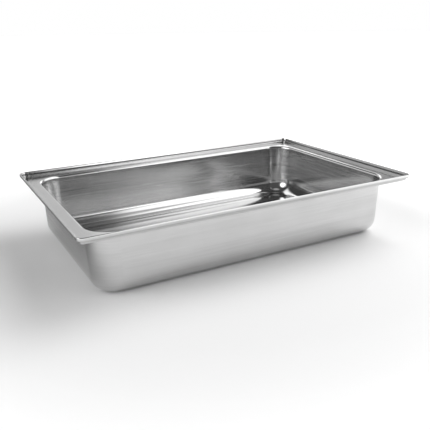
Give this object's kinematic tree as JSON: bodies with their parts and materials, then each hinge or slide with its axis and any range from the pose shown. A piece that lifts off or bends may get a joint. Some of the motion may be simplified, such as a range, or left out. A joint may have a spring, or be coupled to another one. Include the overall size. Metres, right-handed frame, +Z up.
{
  "type": "full-size water pan",
  "caption": "Deep rectangular stainless pan with drafted walls, a rounded floor edge and opening, a flat seat land round it, and a raised stepped rim with a hemmed edge and small corner radii.",
  "frame": {"origin": "underside of the floor, in the middle of the pan", "axes": "+X along the long side, -Y towards the front rail, +Z up out of the opening"},
  "size_m": [0.558, 0.356, 0.104],
  "materials": {
    "basin_steel": "satin, brushed along the sides",
    "rail_steel": "satin, brushed along the rail",
    "corner_steel": "ground and polished after welding",
    "weld_steel": "weld metal ground flush"
  },
  "bodies": {
    "root": {"basin": "basin_steel", "rim_rail_front": "rail_steel", "rim_rail_right": "rail_steel", "rim_rail_back": "rail_steel", "rim_rail_left": "rail_steel", "rim_corner_front_left": "corner_steel", "rim_corner_front_right": "corner_steel", "rim_corner_back_right": "corner_steel", "rim_corner_back_left": "corner_steel", "corner_welds": "weld_steel"}
  },
  "joints": []
}
